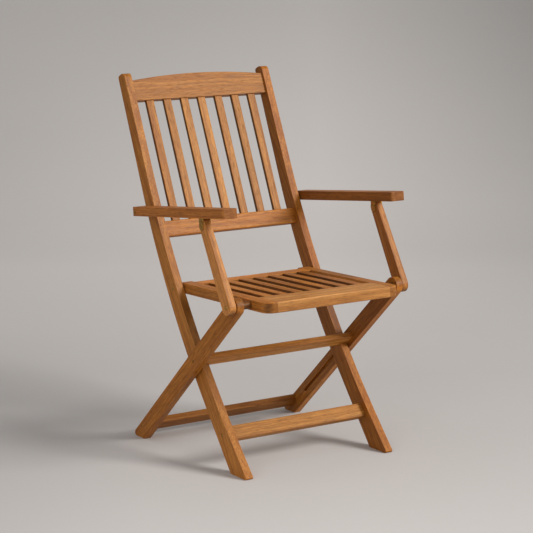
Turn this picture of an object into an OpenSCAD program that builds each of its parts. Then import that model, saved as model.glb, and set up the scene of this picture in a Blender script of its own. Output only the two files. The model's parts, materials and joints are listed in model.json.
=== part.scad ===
// Folding garden armchair in oiled hardwood.
// The long legs run from the front feet to the top of the back. The rear legs cross them: they
// hang from the front of the seat and ride on a pin in a groove. Lifting the seat folds the chair.
// Millimetres. X runs across the chair, the seat faces -Y and Z is up. Left is the sitter's, +X.
// A side view point is [y, z], with y measured from where the front feet meet the ground.

/* [Side view pivots] */
// Height of the bolt at the back of the seat
seat_pivot_z = 407; // [402:1:412]
// Distance of that bolt behind the toes of the long legs
seat_pivot_y = 328; // [324:1:332]
// Height of the bolt at the front of the seat
front_pivot_z = 420; // [414:1:424]
// Distance of that bolt behind the toes
front_pivot_y = 15; // [11:1:19]
// Height of the pin at the top of the arm strut
arm_pin_z = 601; // [595:1:606]
// Distance of that pin behind the toes
arm_pin_y = 120; // [116:1:124]

/* [Long legs] */
// Thickness of a long leg
long_leg_t = 20; // [18:1:24]
// Height of the top of the long legs
long_leg_top = 924; // [910:1:945]
// Drop of the top from its front corner to its rear corner
top_drop = 14; // [8:1:20]
// Lean of the lower front edge from upright, in degrees
front_lean_low = 41.8; // [41:0.1:42.5]
// Lean of the upper front edge, in degrees
front_lean_top = 24.3; // [23.5:0.1:25]
// Height at which the front edge begins to bend
front_bend_z = 85; // [75:1:95]
// Radius of the bend in the front edge
front_bend_r = 2340; // [2280:10:2400]
// Length of the foot along the ground, before its corners are rounded
foot_len = 73.5; // [70:0.5:77]
// Lean of the lower rear edge, in degrees
rear_lean_low = 38.7; // [38:0.1:39.4]
// Lean of the upper rear edge, in degrees
rear_lean_top = 23.1; // [22.5:0.1:23.8]
// Height at which the rear edge begins to bend
rear_bend_z = 149; // [139:1:159]
// Radius of the bend in the rear edge
rear_bend_r = 2135; // [2080:10:2190]
// Rounding of the toe
toe_r = 4.6; // [2:0.2:8]
// Rounding of the front corner at the top
top_front_r = 14; // [6:1:16]
// Rounding of the rear corners
rear_corner_r = 7; // [3:0.5:9]

/* [Rear legs] */
// Thickness of a rear leg
rear_leg_t = 18; // [16:1:22]
// Width of a rear leg
rear_leg_w = 41.5; // [40:0.5:44]
// Lean of the rear legs from upright, in degrees
rear_leg_lean = 47.05; // [46.7:0.05:47.4]
// Distance of the groove pin from the front seat bolt
groove_pin_dist = 277; // [274:1:280]
// Width of the groove
groove_w = 9; // [7:0.5:11]
// Depth of the groove
groove_d = 8; // [5:0.5:10]
// Groove left beyond the pin when the chair is folded
groove_spare = 2.7; // [1:0.1:6]
// Rounding of the rear feet
rear_foot_r = 8; // [3:0.5:9]

/* [Seat] */
// Width of the seat frame
seat_w = 388; // [370:2:410]
// Depth of the seat from the rear bolt to the front edge
seat_reach = 386; // [376:1:394]
// Width of a side rail
seat_rail_w = 31.5; // [30:0.5:34]
// Height of the seat rails
seat_rail_h = 26.4; // [24:0.2:28]
// Depth of the front rail
seat_front_d = 85; // [75:1:92]
// Depth of the rear rail
seat_rear_d = 42; // [34:1:44]
// Distance from the rear bolt to the rear rail
seat_rear_gap = 10; // [9:0.5:13]
// Number of seat slats
seat_slats = 7; // [5:1:7]
// Width of a seat slat
seat_slat_w = 24.4; // [18:0.2:27]
// Thickness of a seat slat
seat_slat_t = 12; // [10:0.5:16]
// Plan radius of the front corners
seat_corner_r = 27; // [12:1:29]
// Diameter of the spacer between a side rail and a rear leg
seat_spacer_d = 18; // [14:0.5:22]

/* [Back] */
// Lean of the back panel from upright, in degrees
back_lean = 23.7; // [23:0.1:24.4]
// Height of the front face of the lower back rail, at its middle
low_rail_z = 544.5; // [540:0.5:549]
// Setback of the lower rail behind the front edge of the long legs
low_rail_back = 16.2; // [14:0.2:18]
// Height of the lower rail
low_rail_h = 40; // [36:1:44]
// Thickness of both back rails
back_rail_t = 20; // [18:1:22]
// Distance from the top of the long legs down to the underside of the crest rail
crest_drop = 77; // [72:0.5:84]
// Height of the crest rail at its ends
crest_h = 53; // [48:1:57]
// Rise of the crest rail in the middle
crest_rise = 12; // [4:1:16]
// Number of back slats
back_slats = 7; // [5:1:7]
// Width of a back slat
back_slat_w = 22; // [18:0.5:26]
// Thickness of a back slat
back_slat_t = 9.5; // [8:0.5:12]
// Space between a long leg and the nearest back slat
back_side_space = 33; // [28:0.5:40]

/* [Arms] */
// Width of an armrest
arm_w = 41; // [40:0.5:46]
// Thickness of an armrest
arm_t = 23; // [21:0.5:26]
// Distance from the rear arm bolt to the front end of the armrest
arm_reach = 414; // [400:1:430]
// Wood behind the rear arm bolt
arm_rear = 11; // [10:0.5:14]
// Rise of the armrest towards the front, in degrees
arm_slope = 6.9; // [6.4:0.1:7.3]
// Height of the rear arm bolt above the underside of the armrest
arm_pivot_up = 9.6; // [9:0.2:11]
// Plan radius of the armrest's corners
arm_corner_r = 5; // [2:0.5:9]
// Thickness of an arm strut
strut_t = 18; // [16:0.5:18]
// Radius of the lower end of a strut
strut_foot_r = 18.5; // [17:0.5:20]
// Radius of the upper end of a strut
strut_top_r = 14; // [12:0.5:14]

/* [Stretchers] */
// Height of the stretchers' section
stretcher_w = 37; // [32:1:38]
// Thickness of the front stretcher
front_stretcher_t = 17; // [14:0.5:20]
// Height of the middle of the front stretcher
front_stretcher_z = 86; // [80:1:92]
// Distance of the front stretcher behind the front edge of the long legs
front_stretcher_back = 34; // [31:0.5:37]
// Lean of the front stretcher from upright, in degrees
front_stretcher_lean = 41; // [39:0.5:43]
// Thickness of the middle stretcher
mid_stretcher_t = 15; // [13:0.5:16]
// Distance from the front seat bolt to the middle stretcher, along the rear leg
mid_stretcher_dist = 245; // [243:0.5:247]
// Thickness of the rear stretcher
rear_stretcher_t = 18; // [15:0.5:20]
// Distance from the front seat bolt to the rear stretcher, along the rear leg
rear_stretcher_dist = 581.5; // [576:0.5:585]
// Rounding of the stretchers' edges
edge_r = 3; // [1:0.5:4]

/* [Hardware and clearances] */
// Diameter of the seat bolts
seat_bolt_d = 6; // [5:0.5:8]
// Diameter of the arm bolts and pins
arm_bolt_d = 5; // [4:0.5:6]
// Diameter of the pins that run in the grooves
groove_stud_d = 6; // [5:0.5:7]
// Diameter of the pins' heads and of the gliders' flanges
flange_d = 14; // [11:0.5:15]
// Diameter of the stretcher screws
screw_d = 5; // [4:0.5:6]
// Radial play of a bolt in its hole
bolt_play = 0.05; // [0.03:0.01:0.1]
// Gap between pieces that move past each other
gap = 0.3; // [0.2:0.05:0.4]
// Space between the seat and the long legs
seat_side_gap = 3; // [2.6:0.2:4]
// Space between the long legs and the rear legs
leg_gap = 5.6; // [5.4:0.2:6.6]
// Thickness of the bracket plates
plate_t = 2; // [1.5:0.5:2.5]
// Width of a bracket cheek
cheek_w = 17; // [13:0.5:19]
// Length of a cheek below its pin
cheek_drop = 13; // [9:0.5:15]
// Length of the bracket plate
bracket_len = 46; // [42:1:56]
// Length of the tenons
tenon = 10; // [6:1:12]

/* [Hidden] */
$fn = 48;

long_leg_color = "#9a5a28";
rear_leg_color = "#a8642e";
seat_color = "#c07a3c";
back_color = "#c98445";
arm_color = "#8e4f24";
strut_color = "#b87034";
brass_color = "#a58d55";
steel_color = "#8b8c8a";

arc_count = 16;
corner_count = 6;
round_count = 18;
fold_angle = 90;
head_h = 1.8;
pin_head_h = 0.8;
seat_head_d = 10;
washer_d = 20;
arm_head_d = 8.5;
spacer_d = 15;
washer_t = 1.2;
nut_h = 5.5;
nut_d = 12;
screw_head_d = 9;
screw_head_h = 4;
screw_sunk = 1;
screw_len = 46;
small_screw_d = 3;
small_screw_len = 14;
small_head_d = 6;
bolt_in_rail = 19;
barrel_d = 12;
barrel_len = 20;
barrel_cover = 4;
stud_len = 15;
slat_shoulder = 3;
rail_shoulder = 6;
through = 1;
notch_flare_ratio = 0.36;

// A point from an angle, and the steps along and square to a lean, in the side view
function polar(r, a) = [r * cos(a), r * sin(a)];
function back_of(a) = [cos(a), -sin(a)];
function unit(v) = v / norm(v);
function turn(v, a) = [v[0] * cos(a) - v[1] * sin(a), v[0] * sin(a) + v[1] * cos(a)];
function arc(r, from, to, mid = [0, 0]) =
    [for (i = [0 : round_count]) mid + polar(r, from + (to - from) * i / round_count)];

// Arc of radius r that rounds the corner b between a and c
function swing(d) = d > 180 ? d - 360 : d < -180 ? d + 360 : d;
function fillet(a, b, c, r) =
    let (u = unit(a - b), w = unit(c - b), half = acos(u * w) / 2)
    let (mid = b + unit(u + w) * r / sin(half), first = b + u * r / tan(half) - mid)
    let (last = b + w * r / tan(half) - mid, from = atan2(first[1], first[0]))
    let (sweep = swing(atan2(last[1], last[0]) - from))
    [for (i = [0 : corner_count]) mid + polar(r, from + sweep * i / corner_count)];

// Outline from corners [x, y, radius]
function point(c) = [c[0], c[1]];
function outline(c) =
    let (n = len(c))
    [for (i = [0 : n - 1])
        for (p = c[i][2] > 0
            ? fillet(point(c[(i + n - 1) % n]), point(c[i]), point(c[(i + 1) % n]), c[i][2])
            : [point(c[i])]) p];
function box_outline(x0, y0, x1, y1, r) = outline([[x0, y0, r], [x1, y0, r], [x1, y1, r], [x0, y1, r]]);
function section(w, t) = box_outline(-w / 2, -t / 2, w / 2, t / 2, edge_r);

// Edge of a long leg: straight at the foot, then a long bend, then straight to the top
function bend_point(y0, low, z0, r, a) =
    [y0 + z0 * tan(low) + r * (cos(a) - cos(low)), z0 + r * (sin(low) - sin(a))];
function bend_arc(y0, low, z0, top, r) =
    [for (i = [0 : arc_count]) bend_point(y0, low, z0, r, low + (top - low) * i / arc_count)];
function edge_at(y0, low, z0, top, r, z) =
    let (last = bend_point(y0, low, z0, r, top))
    z < z0 ? y0 + z * tan(low)
        : z > last[1] ? last[0] + (z - last[1]) * tan(top)
        : bend_point(y0, low, z0, r, asin(sin(low) - (z - z0) / r))[0];

toe_y = -toe_r / tan((90 - front_lean_low) / 2);
heel_y = toe_y + foot_len;
toe = [toe_y, 0];
heel = [heel_y, 0];
front_bend = bend_arc(toe_y, front_lean_low, front_bend_z, front_lean_top, front_bend_r);
rear_bend = bend_arc(heel_y, rear_lean_low, rear_bend_z, rear_lean_top, rear_bend_r);
function front_y(z) = edge_at(toe_y, front_lean_low, front_bend_z, front_lean_top, front_bend_r, z);
function rear_y(z) = edge_at(heel_y, rear_lean_low, rear_bend_z, rear_lean_top, rear_bend_r, z);
top_front = [front_y(long_leg_top), long_leg_top];
top_rear = [rear_y(long_leg_top - top_drop), long_leg_top - top_drop];
top_rear_arc = fillet(top_front, top_rear, rear_bend[arc_count], rear_corner_r);

// The armrest and its strut make a parallelogram with the seat
seat_pivot = [seat_pivot_y, seat_pivot_z];
front_pivot = [front_pivot_y, front_pivot_z];
arm_pin = [arm_pin_y, arm_pin_z];
arm_pivot = seat_pivot + arm_pin - front_pivot;
seat_tilt = atan2(front_pivot_z - seat_pivot_z, seat_pivot_y - front_pivot_y);
strut_len = norm(arm_pin - front_pivot);
strut_lean = atan2(arm_pin_y - front_pivot_y, arm_pin_z - front_pivot_z);

// The groove pin sits on the rear leg's middle line, and slides down the groove as the seat lifts
leg_run = [sin(rear_leg_lean), -cos(rear_leg_lean)];
groove_pin = front_pivot + groove_pin_dist * leg_run;
folded_pivot = seat_pivot + turn(front_pivot - seat_pivot, -fold_angle);
groove_end = norm(groove_pin - folded_pivot) + groove_spare;

// Layers across the chair, from the seat outwards
rail_out = seat_w / 2;
rail_in = rail_out - seat_rail_w;
long_in = rail_out + seat_side_gap;
long_out = long_in + long_leg_t;
rear_in = long_out + leg_gap;
rear_out = rear_in + rear_leg_t;
strut_in = rear_out + washer_t + 2 * gap;
strut_out = strut_in + strut_t;
arm_in = rear_in;
arm_out = arm_in + arm_w;
cheek_in = strut_in - gap - plate_t;
cheek_out = strut_out + gap + plate_t;
seat_spacer_out = rear_in - washer_t - gap;

// The chair is centred between the front of the seat and the back of the long legs
seat_front_y = seat_pivot_y - seat_reach * cos(seat_tilt) - seat_rail_h / 2 * sin(seat_tilt);
top_back_y = max([for (p = top_rear_arc) p[0]]);
side_datum = -(seat_front_y + top_back_y) / 2;

panel_y = front_y(low_rail_z) + low_rail_back;
low_rail_top = low_rail_h / 2;
crest_up = (long_leg_top - low_rail_z) / cos(back_lean) - crest_drop;
crest_top = crest_up + crest_h;
crest_r = (pow(long_in, 2) + pow(crest_rise, 2)) / (2 * crest_rise);
back_slat_back = (back_rail_t + back_slat_t) / 2;
back_slat_pitch = (2 * (long_in - back_side_space) - back_slat_w) / max(back_slats - 1, 1);
seat_slat_space = (2 * rail_in - seat_slats * seat_slat_w) / (seat_slats + 1);
seat_top = seat_rail_h / 2;
front_rail_y = seat_front_d - seat_reach;
rear_rail_y = -seat_rear_gap - seat_rear_d;
arm_under = -arm_pivot_up;
arm_pin_local = turn(arm_pin - arm_pivot, arm_slope);

// Middles of the stretchers and of their screws
front_stretcher_at = [front_y(front_stretcher_z) + front_stretcher_back, front_stretcher_z];
mid_stretcher_at = front_pivot + mid_stretcher_dist * leg_run;
rear_stretcher_off = (rear_leg_w - rear_stretcher_t) / 2;
rear_stretcher_at = front_pivot + rear_stretcher_dist * leg_run
    + rear_stretcher_off * back_of(-rear_leg_lean);

// Places for children: a side view, the seat, the back panel, an armrest and a rear leg
module side_view(x0, x1) {
    translate([x0, side_datum, 0]) rotate([90, 0, 90]) linear_extrude(x1 - x0) children();
}
module at_side(p) {
    translate([0, side_datum + p[0], p[1]]) children();
}
module on_seat() {
    at_side(seat_pivot) rotate([-seat_tilt, 0, 0]) children();
}
module seat_plan(z0, z1) {
    on_seat() translate([0, 0, z0]) linear_extrude(z1 - z0) children();
}
module on_back(depth) {
    at_side([panel_y, low_rail_z]) rotate([90 - back_lean, 0, 0]) translate([0, 0, -depth]) children();
}
module on_armrest() {
    at_side(arm_pivot) rotate([-arm_slope, 0, 0]) children();
}
module along_rear_leg() {
    translate(front_pivot) rotate(rear_leg_lean - 90) children();
}
module on_side(side) {
    if (side > 0) children();
    else mirror([1, 0, 0]) children();
}
module both_sides() {
    on_side(1) children();
    on_side(-1) children();
}

// Round stock and hardware across the chair
module rod(p, d, x0, x1) {
    at_side(p) translate([x0, 0, 0]) rotate([0, 90, 0]) cylinder(d = d, h = x1 - x0);
}
module bore(p, d, x0, x1) {
    rod(p, d + 2 * bolt_play, x0, x1);
}
module ring(p, d, hole, x0, x1) {
    difference() {
        rod(p, d, x0, x1);
        bore(p, hole, x0 - through, x1 + through);
    }
}
module round_head(p, d, h, x, way) {
    at_side(p) translate([x, 0, 0]) rotate([0, 90 * way, 0]) rotate_extrude()
        polygon([[0, 0], [d / 2, 0], [d / 2, 0.3 * h], [0.42 * d, 0.66 * h],
            [0.3 * d, 0.88 * h], [0.15 * d, h], [0, h]]);
}
// Wood screw from the outer face x, with its head sunk in the wood
module screw(p, x) {
    rod(p, screw_head_d, x - screw_head_h, x - screw_sunk);
    rod(p, screw_d, x - screw_len, x - screw_head_h);
}
module screw_hole(p, x) {
    bore(p, screw_head_d, x - screw_head_h, x + through);
    bore(p, screw_d, x - screw_len, x);
}

module back_tenons(h0, h1) {
    both_sides() on_back(back_rail_t - rail_shoulder)
        translate([long_in - through, h0 + rail_shoulder, 0])
        cube([tenon + through, h1 - h0 - 2 * rail_shoulder, back_rail_t - 2 * rail_shoulder]);
}
module long_leg(side) {
    color(long_leg_color) on_side(side) difference() {
        side_view(long_in, long_out) difference() {
            polygon(concat(fillet(heel, toe, front_bend[0], toe_r), front_bend,
                fillet(front_bend[arc_count], top_front, top_rear, top_front_r), top_rear_arc,
                [for (i = [arc_count : -1 : 0]) rear_bend[i]],
                fillet(rear_bend[0], heel, toe, rear_corner_r)));
            stretcher_notch();
        }
        back_tenons(-low_rail_top, low_rail_top);
        back_tenons(crest_up, crest_top);
        bore(seat_pivot, seat_bolt_d, long_in - through, long_out + through);
        bore(arm_pivot, arm_bolt_d, long_out - stud_len, long_out + through);
        bore(groove_pin, groove_stud_d, long_out - stud_len, long_out + through);
        screw_hole(front_stretcher_at, long_out);
    }
}
// The middle stretcher rests in this notch, and swings out past its flared upper side
module stretcher_notch() {
    inner = stretcher_w / 2 + gap;
    half = mid_stretcher_t / 2 + gap;
    outer = -stretcher_w;
    along_rear_leg() translate([mid_stretcher_dist, 0])
        polygon([[inner, -half], [inner, half], [outer, half + (inner - outer) * notch_flare_ratio],
            [outer, -half]]);
}

module back_slat_solid(i) {
    low = low_rail_top - tenon;
    on_back(back_slat_back)
        translate([(i - (back_slats + 1) / 2) * back_slat_pitch - back_slat_w / 2, low, 0])
        cube([back_slat_w, crest_up + tenon - low, back_slat_t]);
}
module back_slat(i) {
    color(back_color) if (i <= back_slats) back_slat_solid(i);
}
module lower_back_rail() {
    color(back_color) difference() {
        union() {
            side_view(-long_in, long_in) translate([panel_y, low_rail_z]) rotate(90 - back_lean)
                polygon(box_outline(-low_rail_top, -back_rail_t, low_rail_top, 0, edge_r));
            back_tenons(-low_rail_top, low_rail_top);
        }
        for (i = [1 : back_slats]) back_slat_solid(i);
    }
}
module crest_rail() {
    steps = 24;
    arch = [for (i = [0 : steps]) let (x = long_in * (1 - 2 * i / steps))
        [x, crest_top + sqrt(pow(crest_r, 2) - x * x) - sqrt(pow(crest_r, 2) - pow(long_in, 2))]];
    color(back_color) difference() {
        union() {
            on_back(back_rail_t) linear_extrude(back_rail_t)
                polygon(concat([[-long_in, crest_up], [long_in, crest_up]], arch));
            back_tenons(crest_up, crest_top);
        }
        for (i = [1 : back_slats]) back_slat_solid(i);
    }
}

module front_stretcher() {
    color(rear_leg_color) difference() {
        side_view(-long_in, long_in) translate(front_stretcher_at) rotate(90 - front_stretcher_lean)
            polygon(section(stretcher_w, front_stretcher_t));
        both_sides() screw_hole(front_stretcher_at, long_out);
    }
}
module front_stretcher_screws() {
    color(brass_color) both_sides() screw(front_stretcher_at, long_out);
}

module rear_seat_bolts() {
    color(brass_color) both_sides() {
        round_head(seat_pivot, seat_head_d, head_h, long_out, 1);
        rod(seat_pivot, seat_bolt_d, rail_in - nut_h, long_out);
    }
}
module rear_seat_nuts() {
    color(brass_color) both_sides() difference() {
        at_side(seat_pivot) translate([rail_in - nut_h, 0, 0]) rotate([0, 90, 0])
            cylinder(d = nut_d, h = nut_h - gap, $fn = 6);
        bore(seat_pivot, seat_bolt_d, rail_in - nut_h - through, rail_in);
    }
}
module rear_seat_washers() {
    color(brass_color) both_sides() ring(seat_pivot, spacer_d, seat_bolt_d, rail_out + gap, long_in);
}
module arm_rear_bolts() {
    color(brass_color) both_sides() {
        round_head(arm_pivot, arm_head_d, head_h, arm_out + gap, 1);
        rod(arm_pivot, arm_bolt_d, long_out - stud_len, arm_out + gap);
    }
}
module arm_spacers() {
    color(brass_color) both_sides() ring(arm_pivot, spacer_d, arm_bolt_d, long_out, arm_in - gap);
}
// Each pin has a wide head, which faces the flange of the glider
module groove_studs() {
    color(steel_color) both_sides() {
        rod(groove_pin, groove_stud_d, long_out - stud_len, long_out);
        rod(groove_pin, flange_d, long_out, long_out + leg_gap / 2);
    }
}

module seat_side_rail(side) {
    color(seat_color) on_side(side) difference() {
        intersection() {
            seat_plan(-seat_rail_h, seat_rail_h) polygon(outline([[rail_in, seat_rail_h, 0],
                [rail_in, -seat_reach, 0], [rail_out, -seat_reach, seat_corner_r],
                [rail_out, seat_rail_h, 0]]));
            side_view(rail_in - through, rail_out + through) translate(seat_pivot) rotate(-seat_tilt)
                polygon(concat(arc(seat_top, -90, 90), [[-seat_reach - through, seat_top],
                    [-seat_reach - through, -seat_top]]));
        }
        bore(seat_pivot, seat_bolt_d, rail_in - through, rail_out + through);
        bore(front_pivot, seat_bolt_d, rail_out - bolt_in_rail, rail_out + through);
        barrel(barrel_d + 2 * bolt_play, -seat_top - through);
        seat_rail_tenon(front_rail_y, seat_front_d);
        seat_rail_tenon(-seat_rear_gap, seat_rear_d);
    }
}
// Upright barrel round the end of the front bolt, from z0 up
module barrel(d, z0) {
    at_side(front_pivot) rotate([-seat_tilt, 0, 0])
        translate([rail_out - bolt_in_rail + barrel_d / 2, 0, z0])
        cylinder(d = d, h = seat_top - barrel_cover - z0);
}
// A rail across the seat, depth deep in front of y, with a tenon at each end
module seat_rail_tenon(y, depth) {
    on_seat() translate([rail_in - through, y - depth + rail_shoulder, -seat_top + rail_shoulder])
        cube([tenon + through, depth - 2 * rail_shoulder, seat_rail_h - 2 * rail_shoulder]);
}
module seat_cross_rail(y, depth) {
    color(seat_color) difference() {
        union() {
            seat_plan(-seat_top, seat_top) translate([-rail_in, y - depth]) square([2 * rail_in, depth]);
            both_sides() seat_rail_tenon(y, depth);
        }
        for (i = [1 : seat_slats]) seat_slat_tenon(i);
    }
}
module seat_front_rail() {
    seat_cross_rail(front_rail_y, seat_front_d);
}
module seat_rear_rail() {
    seat_cross_rail(-seat_rear_gap, seat_rear_d);
}
function seat_slat_x(i) = -rail_in + i * seat_slat_space + (i - 1) * seat_slat_w;
module seat_slat_tenon(i) {
    on_seat() translate([seat_slat_x(i) + slat_shoulder, front_rail_y - tenon,
        seat_top - seat_slat_t + slat_shoulder])
        cube([seat_slat_w - 2 * slat_shoulder, rear_rail_y - front_rail_y + 2 * tenon,
            seat_slat_t - 2 * slat_shoulder]);
}
module seat_slat(i) {
    color(seat_color) if (i <= seat_slats) {
        seat_plan(seat_top - seat_slat_t, seat_top)
            translate([seat_slat_x(i), front_rail_y]) square([seat_slat_w, rear_rail_y - front_rail_y]);
        seat_slat_tenon(i);
    }
}
// Turned spacer that fills the space beside the seat, where the long leg passes further back
module seat_spacer(side) {
    color(seat_color) on_side(side)
        ring(front_pivot, seat_spacer_d, seat_bolt_d, rail_out, seat_spacer_out);
}
// Bolt through the strut, the rear leg and the spacer, into a barrel nut in the side rail
module front_seat_bolts() {
    color(brass_color) both_sides() {
        round_head(front_pivot, seat_head_d, head_h, strut_out + gap, 1);
        rod(front_pivot, seat_bolt_d, rail_out - bolt_in_rail, strut_out + gap);
    }
}
module front_seat_washers() {
    color(brass_color) both_sides() {
        ring(front_pivot, washer_d, seat_bolt_d, seat_spacer_out, seat_spacer_out + washer_t);
        ring(front_pivot, washer_d, seat_bolt_d, rear_out + gap, rear_out + gap + washer_t);
    }
}
module seat_barrel_nuts() {
    color(steel_color) both_sides() difference() {
        barrel(barrel_d, seat_top - barrel_cover - barrel_len);
        bore(front_pivot, seat_bolt_d, rail_out - bolt_in_rail - through, rail_out);
    }
}

module rear_leg(side) {
    half = rear_leg_w / 2;
    upper = (front_pivot_z + half * sin(rear_leg_lean)) / cos(rear_leg_lean);
    lower = (front_pivot_z - half * sin(rear_leg_lean)) / cos(rear_leg_lean);
    color(rear_leg_color) on_side(side) difference() {
        side_view(rear_in, rear_out) along_rear_leg() polygon(outline(concat(
            [for (p = arc(half, 90, 270)) [p[0], p[1], 0]],
            [[lower, -half, rear_foot_r], [upper, half, rear_foot_r]])));
        bore(front_pivot, seat_bolt_d, rear_in - through, rear_out + through);
        side_view(rear_in - through, rear_in + groove_d) along_rear_leg() groove();
        screw_hole(mid_stretcher_at, rear_out);
        screw_hole(rear_stretcher_at, rear_out);
    }
}
module groove() {
    translate([groove_pin_dist, 0]) circle(d = groove_w);
    translate([groove_pin_dist, -groove_w / 2]) square([groove_end - groove_pin_dist, groove_w]);
    translate([groove_end, 0]) circle(d = groove_w);
}
module middle_stretcher() {
    color(rear_leg_color) difference() {
        side_view(-rear_in, rear_in) along_rear_leg() translate([mid_stretcher_dist, 0])
            polygon(section(stretcher_w, mid_stretcher_t));
        both_sides() screw_hole(mid_stretcher_at, rear_out);
    }
}
module rear_stretcher() {
    color(rear_leg_color) difference() {
        side_view(-rear_in, rear_in) along_rear_leg()
            translate([rear_stretcher_dist, rear_stretcher_off])
            polygon(section(stretcher_w, rear_stretcher_t));
        both_sides() screw_hole(rear_stretcher_at, rear_out);
    }
}
module rear_leg_screws() {
    color(brass_color) both_sides() {
        screw(mid_stretcher_at, rear_out);
        screw(rear_stretcher_at, rear_out);
    }
}
// Runner in the groove, with a flange that faces the head of the pin
module groove_glider(side) {
    color(brass_color) on_side(side) {
        rod(groove_pin, groove_w - 2 * gap, rear_in - gap, rear_in + groove_d - gap);
        rod(groove_pin, flange_d, long_out + leg_gap / 2 + gap, rear_in - gap);
    }
}

module armrest(side) {
    color(arm_color) on_side(side) difference() {
        on_armrest() translate([0, 0, arm_under]) linear_extrude(arm_t)
            polygon(box_outline(arm_in, -arm_reach, arm_out, arm_rear, arm_corner_r));
        bore(arm_pivot, arm_bolt_d, arm_in - through, arm_out + through);
        on_armrest() translate([0, 0, arm_under - through]) linear_extrude(plate_t + through) bracket_plate();
        bracket_screw_holes(small_screw_len);
    }
}
module bracket_plate() {
    translate([cheek_in, arm_pin_local[0] - bracket_len / 2])
        square([cheek_out - cheek_in, bracket_len]);
}
module at_bracket_screws() {
    spread = (bracket_len - small_head_d) / 2 - screw_sunk;
    for (way = [-1, 1]) on_armrest()
        translate([(cheek_in + cheek_out) / 2, arm_pin_local[0] + way * spread, arm_under]) children();
}
module bracket_screw_holes(depth) {
    at_bracket_screws() {
        cylinder(d = small_screw_d + 2 * bolt_play, h = depth);
        translate([0, 0, -through])
            cylinder(d = small_head_d + 2 * bolt_play, h = through + plate_t / 2);
    }
}
// Plate let into the armrest, with two cheeks that hold the strut
module arm_bracket(side) {
    color(brass_color) on_side(side) difference() {
        union() {
            on_armrest() translate([0, 0, arm_under]) linear_extrude(plate_t) bracket_plate();
            bracket_cheek(cheek_in);
            bracket_cheek(cheek_out - plate_t);
        }
        bore(arm_pin, arm_bolt_d, cheek_in - through, cheek_out + through);
        bracket_screw_holes(plate_t + through);
    }
}
module bracket_cheek(x) {
    half = cheek_w / 2;
    top = arm_under - arm_pin_local[1] + plate_t / 2;
    side_view(x, x + plate_t) translate(arm_pin) rotate(-arm_slope)
        polygon(outline([[-half, -cheek_drop, half - 0.5], [half, -cheek_drop, half - 0.5],
            [half, top, 0], [-half, top, 0]]));
}
module arm_pin_bolt(side) {
    color(brass_color) on_side(side) {
        round_head(arm_pin, arm_head_d, pin_head_h, cheek_out, 1);
        rod(arm_pin, arm_bolt_d, cheek_in, cheek_out);
        round_head(arm_pin, arm_head_d, pin_head_h, cheek_in, -1);
    }
}
module bracket_screws(side) {
    color(brass_color) on_side(side) at_bracket_screws() {
        cylinder(d = small_head_d, h = plate_t / 2);
        cylinder(d = small_screw_d, h = small_screw_len);
    }
}
// Flat bar with round ends, wider at the seat
module arm_strut(side) {
    flank = acos((strut_foot_r - strut_top_r) / strut_len);
    color(strut_color) on_side(side) difference() {
        side_view(strut_in, strut_out) translate(front_pivot) rotate(90 - strut_lean)
            polygon(concat(arc(strut_foot_r, flank, 360 - flank),
                arc(strut_top_r, -flank, flank, [strut_len, 0])));
        bore(front_pivot, seat_bolt_d, strut_in - through, strut_out + through);
        bore(arm_pin, arm_bolt_d, strut_in - through, strut_out + through);
    }
}

long_leg(1);  // long_leg_left
long_leg(-1);  // long_leg_right
crest_rail();
lower_back_rail();
back_slat(1);  // back_slat_1
back_slat(2);  // back_slat_2
back_slat(3);  // back_slat_3
back_slat(4);  // back_slat_4
back_slat(5);  // back_slat_5
back_slat(6);  // back_slat_6
back_slat(7);  // back_slat_7
front_stretcher();
front_stretcher_screws();
rear_seat_bolts();
rear_seat_nuts();
rear_seat_washers();
arm_rear_bolts();
arm_spacers();
groove_studs();
seat_side_rail(1);  // seat_side_rail_left
seat_side_rail(-1);  // seat_side_rail_right
seat_front_rail();
seat_rear_rail();
seat_slat(1);  // seat_slat_1
seat_slat(2);  // seat_slat_2
seat_slat(3);  // seat_slat_3
seat_slat(4);  // seat_slat_4
seat_slat(5);  // seat_slat_5
seat_slat(6);  // seat_slat_6
seat_slat(7);  // seat_slat_7
seat_spacer(1);  // seat_spacer_left
seat_spacer(-1);  // seat_spacer_right
front_seat_bolts();
front_seat_washers();
seat_barrel_nuts();
rear_leg(1);  // rear_leg_left
rear_leg(-1);  // rear_leg_right
middle_stretcher();
rear_stretcher();
rear_leg_screws();
groove_glider(1);  // groove_glider_left
groove_glider(-1);  // groove_glider_right
armrest(1);  // armrest_left
armrest(-1);  // armrest_right
arm_bracket(1);  // arm_bracket_left
arm_bracket(-1);  // arm_bracket_right
arm_pin_bolt(1);  // arm_pin_left
arm_pin_bolt(-1);  // arm_pin_right
bracket_screws(1);  // bracket_screws_left
bracket_screws(-1);  // bracket_screws_right
arm_strut(1);  // arm_strut_left
arm_strut(-1);  // arm_strut_right
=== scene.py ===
# %% [markdown]
# This lesson dresses a folding garden armchair of sawn and planed hardwood, which has a thin
# coat of oil. The construction is already packed as a frame, in which every leg, rail and slat
# lies where it belongs. What is missing is how the wood looks and how its edges feel. The shapes
# are right, so nothing is modelled anew: each wooden piece gets a copy with eased edges, a wood
# material is laid along its grain, and the fittings get metal materials.

# %% Load the frame
import json
import math
import random

import bmesh
import bpy
from mathutils import Matrix, Vector


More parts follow.
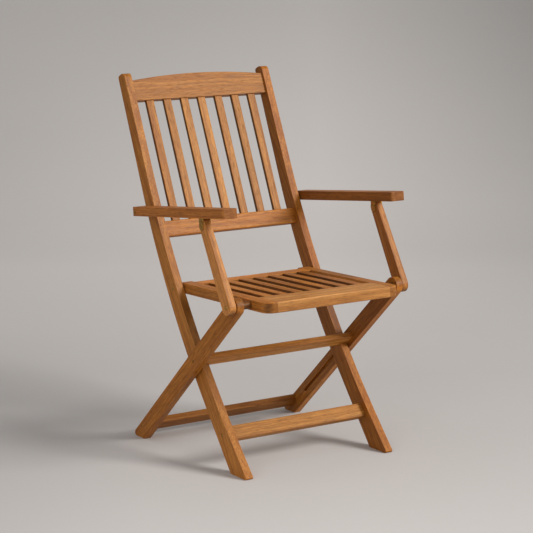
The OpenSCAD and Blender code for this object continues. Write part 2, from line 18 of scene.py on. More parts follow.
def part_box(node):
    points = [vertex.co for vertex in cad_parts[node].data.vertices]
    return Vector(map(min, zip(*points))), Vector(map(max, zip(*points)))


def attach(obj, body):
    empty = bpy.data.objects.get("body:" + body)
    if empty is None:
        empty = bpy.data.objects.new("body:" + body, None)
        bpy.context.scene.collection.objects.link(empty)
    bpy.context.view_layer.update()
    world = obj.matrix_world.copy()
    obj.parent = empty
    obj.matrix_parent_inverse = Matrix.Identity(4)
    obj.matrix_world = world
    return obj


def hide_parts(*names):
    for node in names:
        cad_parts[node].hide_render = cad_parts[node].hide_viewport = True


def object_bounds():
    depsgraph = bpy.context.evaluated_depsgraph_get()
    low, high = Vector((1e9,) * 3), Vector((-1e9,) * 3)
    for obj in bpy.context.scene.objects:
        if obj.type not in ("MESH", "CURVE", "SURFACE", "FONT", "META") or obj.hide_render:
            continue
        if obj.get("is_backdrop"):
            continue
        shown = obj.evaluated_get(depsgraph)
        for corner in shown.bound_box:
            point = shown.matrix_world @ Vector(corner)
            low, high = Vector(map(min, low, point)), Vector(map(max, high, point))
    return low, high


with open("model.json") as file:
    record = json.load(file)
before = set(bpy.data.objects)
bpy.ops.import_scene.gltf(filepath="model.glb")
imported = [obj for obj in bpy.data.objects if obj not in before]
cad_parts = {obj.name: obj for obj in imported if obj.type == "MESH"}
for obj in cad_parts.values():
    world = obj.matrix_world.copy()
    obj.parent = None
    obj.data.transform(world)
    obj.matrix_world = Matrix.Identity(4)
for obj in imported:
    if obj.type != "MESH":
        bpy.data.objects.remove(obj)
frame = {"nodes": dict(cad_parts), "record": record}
cad_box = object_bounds()
MM = 0.001

# %% [markdown]
# Wood is a sum of patterns, and a node tree for such a sum soon becomes a tangle. It reads like
# a formula when every socket is wrapped in a small class, in which an operator such as + puts a
# Math node into the tree. A reflected form swaps the two sides, so that 1 - mask works as well.

# %% A socket that can stand in a formula
def operator(operation, swapped=False):
    """An operator that adds a Math node for its two sides."""
    def add_node(socket, other):
        first, second = (other, socket) if swapped else (socket, other)
        return socket.build.node("ShaderNodeMath", {"operation": operation}, {0: first, 1: second})
    return add_node


class Socket:
    """An output socket of a material under construction."""

    __add__, __radd__ = operator("ADD"), operator("ADD", swapped=True)
    __sub__, __rsub__ = operator("SUBTRACT"), operator("SUBTRACT", swapped=True)
    __mul__, __rmul__ = operator("MULTIPLY"), operator("MULTIPLY", swapped=True)
    __truediv__, __rtruediv__ = operator("DIVIDE"), operator("DIVIDE", swapped=True)
    most = operator("MAXIMUM")

    def __init__(self, build, socket):
        self.build, self.socket = build, socket


print("Sockets can be added, subtracted, multiplied and divided")

# %% [markdown]
# Colours and vectors have nodes of their own, because a Math node would turn them grey. All of
# them come from one method, which takes the node's type, its settings and what goes into its
# sockets. The short methods after it name the few nodes that this chair needs, so that each
# finish further down is told in the words of its maker and not in those of the node editor.

# %% A material under construction
class Build:
    """A new material, with a method that adds any node to it."""

    def __init__(self, name):
        self.material = bpy.data.materials.new(name)
        self.material.use_nodes = True
        self.tree = self.material.node_tree
        self.shader = self.tree.nodes["Principled BSDF"]

    def put(self, target, value):
        """Link a wrapped socket to the target, or set the target to a plain value."""
        if isinstance(value, Socket):
            self.tree.links.new(value.socket, target)
        else:
            target.default_value = value

    def set_stops(self, ramp, stops):
        while len(ramp.elements) < len(stops):
            ramp.elements.new(0.5)
        for element, (place, colour) in zip(ramp.elements, stops):
            element.position, element.color = place, colour

    def node(self, kind, settings=None, values=None, out=0):
        made = self.tree.nodes.new(kind)
        for name, value in (settings or {}).items():
            if name == "stops":
                self.set_stops(made.color_ramp, value)
            else:
                setattr(made, name, value)
        for name, value in (values or {}).items():
            self.put(made.inputs[name], value)
        return Socket(self, made.outputs[out])

    def feed(self, name, value):
        self.put(self.shader.inputs[name], value)

    def attribute(self, name):
        return self.node("ShaderNodeAttribute", {"attribute_name": name}, out=1)

    def product(self, first, second):
        """Two vectors or colours, multiplied channel by channel."""
        return self.node("ShaderNodeVectorMath", {"operation": "MULTIPLY"}, {0: first, 1: second})

    def lit(self, colour, light):
        """A colour made lighter or darker by one number."""
        values = {0: colour, "Scale": light}
        return self.node("ShaderNodeVectorMath", {"operation": "SCALE"}, values)

    def part(self, vector, number):
        """One of the three numbers of a vector."""
        return self.node("ShaderNodeSeparateXYZ", values={0: vector}, out=number)

    def noise(self, place, repeats, detail, roughness=0.55):
        """Clouds, and how often they repeat in a metre along each of three directions."""
        values = {"Vector": self.product(place, repeats), "Scale": 1.0, "Detail": detail,
                  "Roughness": roughness}
        return self.node("ShaderNodeTexNoise", values=values)

    def step(self, value, low, high):
        """0 below low, 1 above high and a soft step between."""
        values = {"Value": value, "From Min": low, "From Max": high}
        return self.node("ShaderNodeMapRange", {"interpolation_type": "SMOOTHSTEP"}, values)

    def ramp(self, value, stops):
        return self.node("ShaderNodeValToRGB", {"stops": stops}, {0: value})

    def mix(self, share, first, second):
        return self.node("ShaderNodeMix", {"data_type": "RGBA"}, {0: share, 6: first, 7: second},
                         out=2)

    def bump(self, height, strength, distance):
        values = {"Strength": strength, "Distance": distance, "Height": height}
        self.feed("Normal", self.node("ShaderNodeBump", values=values))


print("The workbench for materials is ready")

# %% [markdown]
# Sawn wood is never one colour. Broad bands come from the growth rings, fine streaks run with
# the fibres, and dark pores show as short dashes. All of them run along the board. Object
# coordinates would draw the same lines through every piece, whichever way it lies, so each
# piece carries an attribute named grain instead, with the place along the board and square to
# it. A second attribute gives each board its own tone and the painted light and shade of its
# faces. In this way one material serves all the pieces of a finish. The finishes differ a
# little, because the back, the seat, the legs and the armrests weren't cut from the same plank.

# %% How often the grain repeats
# Waves in a metre: along the board, and square to it in two ways
BENDS = (3.0, 22.0, 22.0)
RINGS = (1.6, 1 / (7 * MM), 0.6 / (7 * MM))
STREAKS = (6.0, 1 / (2.4 * MM), 1 / (2.4 * MM))
FIBRES = (22.0, 1 / (1.2 * MM), 1 / (1.2 * MM))
PORES = (45.0, 1 / (0.9 * MM), 1 / (0.9 * MM))
PATCHES = (2.2, 9.0, 9.0)
# How far the lines of the grain wander off a straight line, in metres
WANDER = (0.0, 0.03, 0.02)
# Between these values of its noise, each of them turns from absent to full
RING_EDGE, LATE_WOOD_EDGE, PORE_EDGE = (0.34, 0.68), (0.5, 0.72), (0.56, 0.66)
print("A ring is", round(1000 / RINGS[1], 1), "mm wide and a pore", round(1000 / PORES[1], 1), "mm")

# %% The wood material
# What each pattern adds to the colour, to the light, to the roughness and to the relief
LATE_WOOD_DARKNESS, PORE_DARKNESS = 0.45, 0.6
PATCH_LIGHT, FIBRE_LIGHT, STREAK_LIGHT, MEAN_LIGHT = 0.4, 1.5, 0.85, 1.04
OILED_ROUGHNESS, FIBRE_ROUGHNESS, PORE_ROUGHNESS, OILED_GLOSS = 0.4, 0.18, 0.1, 0.24
FIBRE_RELIEF, STREAK_RELIEF, PORE_RELIEF = 0.5, 0.5, 0.6
WOOD_BUMP = {"strength": 0.22, "distance": 0.25 * MM}


def rgb(red, green, blue):
    """A colour as painters give it, from 0 to 255, in the shader's linear numbers."""
    return tuple(((c / 255 + 0.055) / 1.055) ** 2.4 for c in (red, green, blue)) + (1.0,)


def wood(name, pale, mid, dark):
    b = Build(name)
    grain = b.attribute("grain")
    bend = b.noise(grain, BENDS, detail=2.0) - 0.5
    bends = b.node("ShaderNodeCombineXYZ", values={0: bend, 1: bend, 2: bend})
    bent = b.node("ShaderNodeVectorMath", {"operation": "MULTIPLY_ADD"},
                  {0: bends, 1: WANDER, 2: grain})
    rings = b.step(b.noise(bent, RINGS, detail=2.0), *RING_EDGE)
    streaks = b.noise(bent, STREAKS, detail=4.0, roughness=0.65)
    fibres = b.noise(grain, FIBRES, detail=3.0)
    pores = b.step(b.noise(grain, PORES, detail=1.0), *PORE_EDGE)
    patches = b.noise(grain, PATCHES, detail=2.0)

    body = b.mix(rings, mid, pale)
    body = b.mix(b.step(streaks, *LATE_WOOD_EDGE) * LATE_WOOD_DARKNESS, body, dark)
    body = b.mix(pores * PORE_DARKNESS, body, dark)
    light = ((patches - 0.5) * PATCH_LIGHT + (fibres - 0.5) * FIBRE_LIGHT
             + (streaks - 0.5) * STREAK_LIGHT + MEAN_LIGHT)
    # The second attribute holds each board's tone and the light and shade painted on its faces
    b.feed("Base Color", b.product(b.lit(body, light), b.attribute("tint")))
    b.feed("Roughness", OILED_ROUGHNESS + fibres * FIBRE_ROUGHNESS + pores * PORE_ROUGHNESS)
    b.feed("Specular IOR Level", OILED_GLOSS)
    b.bump(fibres * FIBRE_RELIEF + streaks * STREAK_RELIEF - pores * PORE_RELIEF, **WOOD_BUMP)
    print("Finish", name)
    return b.material


WOOD = {
    "frame_wood": wood("frame_wood", rgb(184, 118, 46), rgb(157, 93, 31), rgb(100, 54, 16)),
    "back_wood": wood("back_wood", rgb(184, 119, 46), rgb(157, 95, 32), rgb(102, 55, 17)),
    "seat_wood": wood("seat_wood", rgb(182, 117, 49), rgb(154, 92, 34), rgb(98, 52, 18)),
    "leg_wood": wood("leg_wood", rgb(184, 118, 44), rgb(157, 93, 30), rgb(100, 54, 16)),
    "arm_wood": wood("arm_wood", rgb(176, 108, 43), rgb(148, 84, 29), rgb(94, 48, 15)),
}

# %% [markdown]
# Brass that lives outdoors loses its shine: it browns in patches and stays brighter where it is
# touched. The screws and studs are plain steel. Metal has no grain to follow, so its patches
# read Object coordinates, and one function makes both metals from a clean and a worn colour.

# %% The metal materials
# How often the patches and the specks repeat in a metre, and how sharply a patch ends
TARNISH, SPECKS, TARNISH_EDGE = (160.0, 160.0, 160.0), (900.0, 900.0, 900.0), (0.38, 0.64)
LESS_METAL, DULLED, SPECKLED = 0.35, 0.22, 0.08
METAL_BUMP = {"strength": 0.15, "distance": 0.1 * MM}


def metal(name, clean, worn, roughness):
    b = Build(name)
    place = b.node("ShaderNodeTexCoord", out=3)
    age = b.step(b.noise(place, TARNISH, detail=4.0, roughness=0.65), *TARNISH_EDGE)
    specks = b.noise(place, SPECKS, detail=2.0)
    b.feed("Base Color", b.mix(age, clean, worn))
    b.feed("Metallic", 1.0 - age * LESS_METAL)
    b.feed("Roughness", roughness + age * DULLED + specks * SPECKLED)
    b.bump(specks, **METAL_BUMP)
    print("Finish", name)
    return b.material


METAL = {
    "brass": metal("brass", rgb(206, 160, 84), rgb(140, 102, 48), 0.34),
    "steel": metal("steel", rgb(140, 136, 130), rgb(84, 76, 68), 0.32),
}

# %% [markdown]
# A joiner never leaves an edge sharp: it is rounded with a few strokes so that it neither
# splinters nor cuts. A Bevel modifier would do that to every edge, those of holes and mortises
# too, and open a groove round each joint. The bevel operator rounds only the edges that it is
# given. So each piece is copied, its loose triangles are merged into whole faces, and its outer
# edges are picked out: those that form its outline, or, on a plain bar, its long ones.

# %% Copy a node into whole faces
FLAT = math.radians(0.5)
SAME_POINT = 0.001 * MM


def merged(node):
    bm = bmesh.new()
    bm.from_mesh(frame["nodes"][node].data)
    bmesh.ops.remove_doubles(bm, verts=bm.verts, dist=SAME_POINT)
    bmesh.ops.dissolve_limit(bm, angle_limit=FLAT, verts=bm.verts, edges=bm.edges)
    return bm


print("Faces that turn by less than", round(math.degrees(FLAT), 1), "degrees become one")

# %% Find the outer edges
SHARP = math.radians(30)
# An outline spans this share of its piece's size, and a long edge is at least so long
OUTLINE_SHARE, LONG_SHARE = 0.4, 0.5


def is_sharp(edge):
    return len(edge.link_faces) == 2 and edge.calc_face_angle_signed(0) > SHARP


def runs(edges):
    """Groups of edges that touch each other."""
    left, groups = set(edges), []
    while left:
        group, front = [], [left.pop()]
        while front:
            edge = front.pop()
            group.append(edge)
            near = {e for v in edge.verts for e in v.link_edges} & left
            left -= near
            front.extend(near)
        groups.append(group)
    return groups


def span(verts):
    """The diagonal of the box round some vertices."""
    points = [v.co for v in verts]
    low = Vector(min(p[i] for p in points) for i in range(3))
    high = Vector(max(p[i] for p in points) for i in range(3))
    return (high - low).length


def outline_edges(bm):
    least = OUTLINE_SHARE * span(bm.verts)
    groups = runs([e for e in bm.edges if is_sharp(e)])
    wide = [group for group in groups if span([v for e in group for v in e.verts]) > least]
    return [e for group in wide for e in group]


def long_edges(bm):
    least = LONG_SHARE * span(bm.verts)
    return [e for e in bm.edges if is_sharp(e) and e.calc_length() > least]


print("An edge is sharp from", round(math.degrees(SHARP)), "degrees")

# %% Round some edges
STROKES = 3


def round_edges(bm, edges, radius):
    bmesh.ops.bevel(bm, geom=edges, offset=radius, offset_type="OFFSET", affect="EDGES",
                    segments=STROKES, profile=0.5, material=-1, clamp_overlap=True)


print("An edge is rounded in", STROKES, "strokes")

# %% [markdown]
# Each vertex is told where it lies in its board, measured along the grain and square to it in
# two ways. If all the boards were measured from the same point, neighbours would share their
# rings and streaks. So each one is cut from its own place in one huge trunk. The dice that
# choose the place start from the piece's name, and so the grain is the same every time the
# script runs.

# %% Lay the grain along a board
# The trunk's length and thickness, in metres
TRUNK = (9, 2, 2)


def board_axes(along):
    """Three directions of a board: along the grain, and square to it in two ways."""
    along = Vector(along).normalized()
    # The last one lies across the chair, or from front to back where the board runs across
    last = Vector((1, 0, 0)) if abs(along.x) < 0.5 else Vector((0, 1, 0))
    second = last.cross(along).normalized()
    return along, second, along.cross(second).normalized()


def lay_grain(mesh, node, axes):
    dice = random.Random(node)
    shift = Vector([dice.uniform(0, size) for size in TRUNK])
    places = [Vector([v.co.dot(axis) for axis in axes]) + shift for v in mesh.vertices]
    grain = mesh.attributes.new("grain", "FLOAT_VECTOR", "POINT")
    grain.data.foreach_set("vector", [number for place in places for number in place])


print("The trunk is", TRUNK[0], "m long")

# %% [markdown]
# No two boards are alike in tone, and end grain drinks more oil and turns dark. Light and shade
# are painted into the colour as well: painted light on the tops of the seat's rails, painted
# light and shade on the side faces, a painted shadow of the seat on the long legs' fronts,
# painted shade on the front of the rear seat rail and a painted highlight on eased edges. All of
# this follows from the way that a face looks, so the normal of each face corner decides. The
# result is kept per corner, because two faces that meet in one edge can have different shades.

# %% How light each board is
# How light a board is, partly its own tone and partly painted light and shade, how reddish it is
# (or yellow, below 0), and the painted light and shade on its side faces beside its front
SHADES = {
    "long_leg_left": (0.86, 0.45, 0.86), "long_leg_right": (0.9, -0.4, 1.19),
    "rear_leg_left": (1.02, 0.2, 0.7), "rear_leg_right": (0.82, 0.2, 1.14),
    "crest_rail": (0.78, -0.2, 1), "lower_back_rail": (0.95, 0.3, 1),
    "back_slat_1": (0.88, -0.35, 0.38), "back_slat_2": (0.92, -0.6, 0.38),
    "back_slat_3": (0.96, -0.8, 0.38), "back_slat_4": (1.07, -1, 0.38),
    "back_slat_5": (0.92, -0.65, 0.38), "back_slat_6": (0.78, -0.48, 0.38),
    "back_slat_7": (0.92, -0.56, 0.38),
    "front_stretcher": (0.815, -1.4, 1), "middle_stretcher": (1.06, -1.25, 1),
    # Painted shade: the rear stretcher lies in shadow
    "rear_stretcher": (0.58, 0.1, 1),
    "seat_front_rail": (1.02, -1.75, 1), "seat_rear_rail": (1.16, 0.1, 1),
    "seat_side_rail_left": (1.04, -0.3, 1), "seat_side_rail_right": (1.05, -0.1, 0.98),
    "seat_slat_1": (1.15, 0, 0.35), "seat_slat_2": (1.1, 0.1, 0.35),
    "seat_slat_3": (1.02, 0.1, 0.35), "seat_slat_4": (1, 0.1, 0.35),
    "seat_slat_5": (1.1, 0, 0.3), "seat_slat_6": (1.05, 0.1, 0.3),
    "seat_slat_7": (1.1, 0, 0.3),
    "armrest_left": (0.9, -0.4, 0.7), "armrest_right": (1.05, -0.5, 1.14),
    # Painted shade: the spacers sit in a shaded recess between the seat and the rear legs
    "seat_spacer_left": (0.34, 0.5, 0.8), "seat_spacer_right": (0.34, 0.5, 0.8),
    "arm_strut_left": (1, -1.3, 0.98), "arm_strut_right": (1.2, -2.1, 1.35),
}
EVEN_SHADE = (1.0, 0.0, 1.0)
# On some pieces: painted light on faces that look up, painted shade on faces that look forward,
# and how light upright corners are, in place of the painted highlight on eased edges
PAINTED_TOP_LIGHT = {"seat_front_rail": 1.28, "seat_rear_rail": 1.34, "seat_side_rail_right": 1.18}
PAINTED_FRONT_SHADE = {"seat_rear_rail": 0.45}
CORNERS = {"seat_side_rail_right": 0.56}
# End grain drinks more oil and is darker, and eased edges are lighter with a painted highlight
END_GRAIN, PAINTED_EDGE_HIGHLIGHT = 0.66, 1.14
# How much green and blue a reddish board loses
LESS_GREEN, LESS_BLUE = 0.12, 0.5
# A painted shadow of the seat on the long legs' fronts: how light it leaves them, and where it
# fades from full to none at the top and at the foot
PAINTED_SEAT_SHADOW, SEAT_UNDERSIDE, LIT_FOOT = 0.6, (0.36, 0.42), (0.1, 0.34)
print(len(SHADES), "boards have a shade of their own")

# %% Paint tone, light and shade on the corners of the faces
# Between these cosines a face turns from looking past a direction to looking along it
FACING = (0.5, 0.9)
# Between these losses of squareness a face turns from a side of the board into an eased edge
EASED = (0.04, 0.2)
UPRIGHT, LOOKS_FORWARD = 0.3, -0.3


def soft_step(value, low, high):
    share = min(max((value - low) / (high - low), 0.0), 1.0)
    return share * share * (3 - 2 * share)


def blend(factor, share):
    """The factor where the share is 1, and no change where it is 0."""
    return 1 + share * (factor - 1)


# Painted shadow of the seat: how light a long leg's front stays at a height
def seat_shadow_paint(height):
    below = 1 - soft_step(height, *SEAT_UNDERSIDE)
    return blend(PAINTED_SEAT_SHADOW, below * soft_step(height, *LIT_FOOT))


def light_on(node, normal, height, axes):
    """How light a board is where its surface looks along the normal."""
    shade, _, painted_side_light = SHADES.get(node, EVEN_SHADE)
    end = soft_step(abs(normal.dot(axes[0])), *FACING)
    side = (1 - end) * soft_step(abs(normal.x), *FACING)
    squareness = max(abs(normal.dot(axis)) for axis in axes)
    # Eased edges get a painted highlight, but the upright corners of the pieces listed get their own value
    corner = CORNERS.get(node, PAINTED_EDGE_HIGHLIGHT) if abs(normal.z) < UPRIGHT else PAINTED_EDGE_HIGHLIGHT
    # The board's light, darker end grain, and painted light and shade on the side faces
    light = shade * blend(END_GRAIN, end) * blend(painted_side_light, side)
    # Painted light on the faces that look up
    light *= blend(PAINTED_TOP_LIGHT.get(node, 1), soft_step(normal.z, *FACING))
    # Painted shade on the faces that look forward, as the rear seat rail's front under the slats
    light *= blend(PAINTED_FRONT_SHADE.get(node, 1), soft_step(-normal.y, *FACING))
    light *= blend(corner, soft_step(1 - squareness, *EASED))
    # A painted shadow of the seat on the fronts of the long legs
    if node.startswith("long_leg") and normal.y < LOOKS_FORWARD:
        light *= seat_shadow_paint(height)
    return light


def lay_tone_and_painted_light(mesh, node, axes):
    """Give each face corner its board's tone and the light and shade painted on that side."""
    warmth = SHADES.get(node, EVEN_SHADE)[1]
    numbers = [0.0] * (3 * len(mesh.loops))
    mesh.corner_normals.foreach_get("vector", numbers)
    tones_and_painted_lights = []
    for corner, loop in enumerate(mesh.loops):
        normal = Vector(numbers[3 * corner:3 * corner + 3])
        light = light_on(node, normal, mesh.vertices[loop.vertex_index].co.z, axes)
        tones_and_painted_lights += [light, light * (1 - LESS_GREEN * warmth), light * (1 - LESS_BLUE * warmth)]
    tint = mesh.attributes.new("tint", "FLOAT_VECTOR", "CORNER")
    tint.data.foreach_set("vector", tones_and_painted_lights)


print("An eased edge is", round(PAINTED_EDGE_HIGHLIGHT, 2), "times as light as the board beside it")

# %% [markdown]
# After its edges are rounded, a piece is shaded smooth, and its big faces are kept flat by
# weighting the normals. Then it takes its node's place: it rides on the same body, so that it
# moves with the fold, and it takes the finish of its node's slot in the record. One function
# does all this for every piece, and is told which way the grain runs, how far the edges are
# eased and which edges are left sharp.

# %% Shade a finished mesh
def finish_mesh(name, bm, material):
    mesh = bpy.data.meshes.new(name)
    bm.to_mesh(mesh)
    bm.free()
    mesh.materials.append(material)
    for polygon in mesh.polygons:
        polygon.use_smooth = True
    mesh.set_sharp_from_angle(angle=SHARP)
    piece = bpy.data.objects.new(name, mesh)
    bpy.context.scene.collection.objects.link(piece)
    flat = piece.modifiers.new("flat_faces", "WEIGHTED_NORMAL")
    flat.keep_sharp = True
    return piece


print("A finished mesh is smooth up to", round(math.degrees(SHARP)), "degrees")

# %% Put a wooden piece in a node's place
ON_FLOOR = 0.1 * MM


def body_of(node):
    return next(b for b, nodes in frame["record"]["behaviour"]["bodies"].items() if node in nodes)


def slot_of(node):
    return next(s["material_slot"] for s in frame["record"]["subparts"] if s["node"] == node)


def ease(node, along, radius, pick, skip=None, foot=0.0):
    """Put a wooden piece in a node's place, with its picked edges and its foot rounded."""
    bm = merged(node)
    if foot:
        round_edges(bm, [e for e in bm.edges if all(v.co.z < ON_FLOOR for v in e.verts)], foot)
    round_edges(bm, [e for e in pick(bm) if skip is None or not skip(e)], radius)
    slot = slot_of(node)
    piece = finish_mesh(node + "_wood", bm, WOOD[slot])
    axes = board_axes(along)
    lay_grain(piece.data, node, axes)
    lay_tone_and_painted_light(piece.data, node, axes)
    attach(piece, body_of(node))
    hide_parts(node)


print("A piece is eased, laid along its grain and put on its body")

# %% [markdown]
# A sawyer lays a piece along the plank, because wood is strong only along its grain. Three
# helpers find that direction in the side view: from the box that a leaning piece fills, from the
# two fittings that a strut joins, or from the slope of a board that rises to the front.

# %% Directions in the side view
ACROSS = (1, 0, 0)
SEAT_RISE, ARM_RISE = 2.4, 6.9


def slope(node, way):
    """The direction of a straight piece that rises to the back, or to the front for a way of -1."""
    low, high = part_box(node)
    return Vector((0, high.y - low.y, way * (high.z - low.z)))


def between(first, second):
    """The direction from one fitting to another."""
    way = sum(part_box(second), Vector()) - sum(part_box(first), Vector())
    return Vector((0, way.y, way.z))


def rising(degrees):
    """The direction of a board that rises towards the front of the chair."""
    return Vector((0, -math.cos(math.radians(degrees)), math.sin(math.radians(degrees))))


print("The seat rises", SEAT_RISE, "and the armrests", ARM_RISE, "degrees")

# %% [markdown]
# Each long leg is sawn in one bent and tapered piece, from the front foot to the top of the
# back. The rear legs and the struts under the armrests are straight bars, rounded where they
# turn on a bolt. A hand takes hold of them, so their whole outline is eased, round ends as well,
# which picking only the long edges would miss. The feet are rounded further, because a sharp
# foot would chip on stone.

# %% Legs and struts
LEG_EASE, FOOT_EASE = 1.8 * MM, 5 * MM
for side in ("left", "right"):
    ease("long_leg_" + side, slope("long_leg_" + side, 1), LEG_EASE, outline_edges, foot=FOOT_EASE)
    ease("rear_leg_" + side, slope("rear_leg_" + side, -1), LEG_EASE, outline_edges, foot=FOOT_EASE)
    strut_way = between("front_seat_bolts", "arm_pin_" + side)
    ease("arm_strut_" + side, strut_way, LEG_EASE, outline_edges)
print("Two long legs, two rear legs and two arm struts")

# %% [markdown]
# The rails and stretchers run across the chair, the back slats follow the slope of the back,
# and the seat slats run from front to back. They are plain bars whose ends sit in or against
# their neighbours, so easing only their long edges leaves the joints tight. The crest rail has
# an arched top of many short edges. Its outline is eased instead, apart from the edges at the
# legs, which would open its joints.

# %% Rails, stretchers and slats
RAIL_EASE, CREST_EASE, BACK_SLAT_EASE = 1.0 * MM, 1.5 * MM, 1.6 * MM
SEAT_EASE, SEAT_SLAT_EASE = 4 * MM, 1.8 * MM
# A tenon and the very end of the rail behind it, whose edges lie in the joint
TENON_REACH = 11 * MM


def at_ends(node):
    """Edges that lie in the ends of a rail, where it meets its neighbours."""
    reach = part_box(node)[1].x - TENON_REACH
    return lambda edge: all(abs(v.co.x) > reach for v in edge.verts)


ease("crest_rail", ACROSS, CREST_EASE, outline_edges, skip=at_ends("crest_rail"))
for name in ("lower_back_rail", "front_stretcher", "middle_stretcher", "rear_stretcher"):
    ease(name, ACROSS, RAIL_EASE, long_edges)
for name in ("seat_front_rail", "seat_rear_rail"):
    ease(name, ACROSS, SEAT_EASE, long_edges)
BACK_SLATS = [n for n in frame["nodes"] if n.startswith("back_slat_")]
SEAT_SLATS = [n for n in frame["nodes"] if n.startswith("seat_slat_")]
for name in BACK_SLATS:
    ease(name, slope(name, 1), BACK_SLAT_EASE, long_edges)
for name in SEAT_SLATS:
    ease(name, rising(SEAT_RISE), SEAT_SLAT_EASE, long_edges)
print(len(BACK_SLATS), "back slats and", len(SEAT_SLATS), "seat slats")

# %% [markdown]
# The rails round the seat are rounded most of all, because they press against the legs of
# whoever sits there. The side rails have round ends, so they need their whole outline eased.
# But their inner faces meet the front and rear rails flush, and a rounded edge there would show
# as a black line, so those edges are left as they are. The spacers are turned bars between the
# side rails and the rear legs, and the armrests are eased enough for a bare arm.

# %% Seat sides, spacers and armrests
ARM_EASE = 2.2 * MM
NEAR_FACE = 1 * MM


def at_inner_face(node):
    """Edges in the inner face of a side rail, which meet the rails of the seat without a groove."""
    inner = min(abs(corner.x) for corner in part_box(node)) + NEAR_FACE
    return lambda edge: all(abs(v.co.x) < inner for v in edge.verts)


for side in ("left", "right"):
    rail = "seat_side_rail_" + side
    ease(rail, rising(SEAT_RISE), SEAT_EASE, outline_edges, skip=at_inner_face(rail))
    ease("seat_spacer_" + side, ACROSS, RAIL_EASE, outline_edges)
    ease("armrest_" + side, rising(ARM_RISE), ARM_EASE, outline_edges)
print("Two side rails, two spacers and two armrests")

# %% [markdown]
# Bolts, washers, brackets and screws are turned and stamped to their exact shape. The
# construction gives that shape in full, so they need no copy with eased edges: the nodes stay as
# they are, and only their material slots take a metal finish.

# %% Metal pieces
FITTINGS = [n for n in frame["nodes"] if slot_of(n) in METAL]
for name in FITTINGS:
    for slot in frame["nodes"][name].material_slots:
        slot.material = METAL[slot_of(name)]
print(len(FITTINGS), "fittings are brass or steel")

# %% [markdown]
# The chair stands on pale paper that runs up into the backdrop without a line. A plane and a
# wall would meet in a corner, so one grid is bent up behind the chair instead. Real paper is
# lit unevenly by its lamps. Lamps alone could copy that only with much trial, so a ramp along
# the paper's run and a second one for its sides give each stretch its shade. They read the flat
# sheet's own coordinates, kept in an attribute before the sheet is bent.

# %% The paper's shade
# The shade along the run: before the chair, under it, behind it and up the backdrop
PAPER_LIGHT = ((0.0, 1.38), (0.183, 1.22), (0.283, 1.2), (0.383, 1.3), (0.55, 1.49), (0.717, 1.4),
               (0.817, 1.25), (0.933, 1.02))
# How fast it darkens in a metre towards the right and towards the left, along the same run
PAPER_FADE = ((0.11, 0.14, 0.25), (0.182, 0.13, 0.1), (0.267, 0.13, 0.2), (0.375, 0.22, 0.06),
              (0.54, 0.3, 0.07), (0.717, 0.33, 0.13), (0.805, 0.36, 0.12), (0.933, 0.37, 0))
PAPER_GREY = (0.455, 0.438, 0.43)
# Where the two ramps start before the chair, how long they are, and the strip that doesn't fade
RAMP_START, RAMP_LENGTH, EVEN_STRIP = 1.0, 6.0, 0.25
# The sheet is made narrow and is then drawn out sideways
PAPER_WIDENING = 3
# The least light that fading leaves, and faint clouds with how often they repeat in a metre
DARKEST, CLOUD_LIGHT, CLOUDS = 0.6, 0.04, (1.4, 0.7, 0.7)
PAPER_ROUGHNESS, PAPER_GLOSS = 0.9, 0.2


def floor_paint():
    b = Build("floor_paint")
    paper = b.attribute("paper")
    across, run = b.part(paper, 0), b.part(paper, 1)
    place = (run + RAMP_START) / RAMP_LENGTH
    greys = [(at, tuple(light * grey for grey in PAPER_GREY) + (1.0,)) for at, light in PAPER_LIGHT]
    fades = b.ramp(place, [(at, (right, left, 0, 1)) for at, right, left in PAPER_FADE])
    right = (across * PAPER_WIDENING - EVEN_STRIP).most(0.0) * b.part(fades, 0)
    left = (across * -PAPER_WIDENING - EVEN_STRIP).most(0.0) * b.part(fades, 1)
    cloud = b.noise(paper, CLOUDS, detail=2.0) * CLOUD_LIGHT + (1 - CLOUD_LIGHT / 2)
    tone = (1.0 - right - left).most(DARKEST) * cloud
    b.feed("Base Color", b.lit(b.ramp(place, greys), tone))
    b.feed("Roughness", PAPER_ROUGHNESS)
    b.feed("Specular IOR Level", PAPER_GLOSS)
    return b.material


print("The paper's shade has", len(PAPER_LIGHT), "stops along its run")

# %% The paper's shape
HALF_SHEET, SHEET_STEPS = 9.0, 60
# Before the chair the sheet is drawn out, so that it also fills a view from behind
DRAWN_FROM, DRAWN_OUT = -3, 4
# How far behind the chair the sheet starts to bend up, and how gently
BEND_START, BEND_RADIUS = 2.6, 2.2
# The sheet runs straight away from the camera, which looks this far to the chair's side
CAMERA_AZIMUTH = -33.52


def studio_floor():
    bm = bmesh.new()
    bmesh.ops.create_grid(bm, x_segments=SHEET_STEPS, y_segments=SHEET_STEPS, size=HALF_SHEET)
    places = [number for v in bm.verts for number in v.co]
    for vertex in bm.verts:
        vertex.co.x *= PAPER_WIDENING
        if vertex.co.y < DRAWN_FROM:
            vertex.co.y = DRAWN_FROM + DRAWN_OUT * (vertex.co.y - DRAWN_FROM)
        past = vertex.co.y - BEND_START
        if past > 0:
            turn = min(past / BEND_RADIUS, math.pi / 2)
            upright = max(0.0, past - BEND_RADIUS * math.pi / 2)
            vertex.co.y = BEND_START + BEND_RADIUS * math.sin(turn)
            vertex.co.z = BEND_RADIUS * (1 - math.cos(turn)) + upright
    floor = finish_mesh("studio_floor", bm, floor_paint())
    paper = floor.data.attributes.new("paper", "FLOAT_VECTOR", "POINT")
    paper.data.foreach_set("vector", places)
    floor.data.transform(Matrix.Rotation(math.radians(CAMERA_AZIMUTH), 4, "Z"))
    floor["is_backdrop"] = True


studio_floor()
print("The floor bends up into the backdrop with a radius of", BEND_RADIUS, "m")

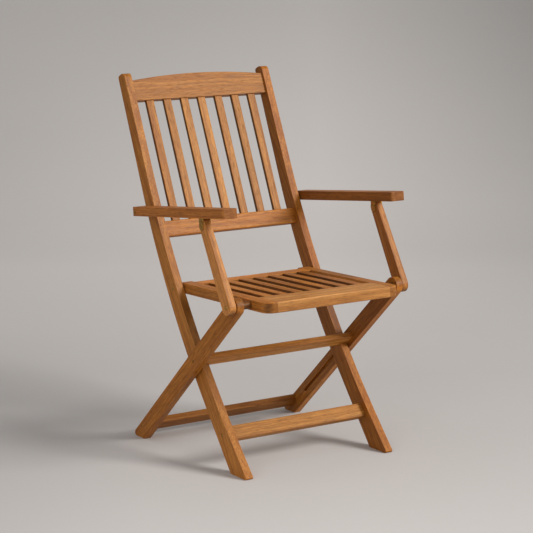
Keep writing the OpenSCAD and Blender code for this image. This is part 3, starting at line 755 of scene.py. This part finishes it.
# %% [markdown]
# A photographer lights wood with one large soft lamp, because a small one would give hard
# shadows and bright spots on the oil. Here it hangs high on the camera's right. A weak fill on
# the left and a pale sky keep the shaded sides from going black.

# %% Two lamps and a sky
CHAIR_MIDDLE = (0, 0, 0.4)
SKY_COLOUR, SKY_STRENGTH = (1.0, 0.98, 0.95, 1), 0.45


def lamp(name, place, size, watts, colour):
    light = bpy.data.lights.new(name, "AREA")
    light.shape, light.size, light.energy, light.color = "DISK", size, watts, colour
    holder = bpy.data.objects.new(name, light)
    holder.location = place
    aim = Vector(CHAIR_MIDDLE) - Vector(place)
    holder.rotation_euler = aim.to_track_quat("-Z", "Y").to_euler()
    bpy.context.scene.collection.objects.link(holder)


lamp("key_lamp", place=(4.1, -5.8, 4.6), size=3.5, watts=620, colour=(1.0, 0.98, 0.95))
lamp("fill_lamp", place=(-6.0, -3.6, 3.0), size=4.0, watts=78, colour=(1.0, 0.99, 0.97))
world = bpy.data.worlds.new("studio")
world.use_nodes = True
background = world.node_tree.nodes["Background"]
background.inputs["Color"].default_value = SKY_COLOUR
background.inputs["Strength"].default_value = SKY_STRENGTH
bpy.context.scene.world = world
bpy.context.scene.view_settings.view_transform = "Standard"
print("A key lamp, a fill lamp and a pale sky")

# %% [markdown]
# The photograph was taken with a long lens from almost 5 m away, well to the left of the chair's
# front as we see it, and from the height of a standing person's chest. The place, the turn and
# the lens could be found by eye, but an edge that is off by a pixel or two shows at once. So
# they were worked out from the chair's straight edges.

# %% Camera
# The sensor and the lens are in millimetres, the place in metres and the turns in degrees
SENSOR = 36.0
LENS = 128.72
CAMERA_PLACE = Vector((-2.5717, -3.9114, 1.3579))
CAMERA_PITCH = 10.972
CAMERA_ROLL = 0.117

camera = bpy.data.cameras.new("camera")
camera.lens, camera.sensor_width = LENS, SENSOR
viewer = bpy.data.objects.new("camera", camera)
turn = (Matrix.Rotation(math.radians(CAMERA_AZIMUTH), 4, "Z")
        @ Matrix.Rotation(math.radians(90 - CAMERA_PITCH), 4, "X")
        @ Matrix.Rotation(math.radians(CAMERA_ROLL), 4, "Z"))
viewer.matrix_world = Matrix.Translation(CAMERA_PLACE) @ turn
bpy.context.scene.collection.objects.link(viewer)
bpy.context.scene.camera = viewer
print("The camera stands", round(CAMERA_PLACE.length, 2), "m away")

# %% [markdown]
# Looks must not change a size, because the chair has to fit its construction. Both boxes are
# kept side by side: the one that was measured before any piece was made, and the one of what is
# visible now.

# %% Keep both boxes and finish
sizes = {"cad": [list(corner) for corner in cad_box], "visual": [list(corner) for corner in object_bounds()]}
low, high = sizes["visual"]
print("The chair measures", [round(end - start, 3) for start, end in zip(low, high)], "m")
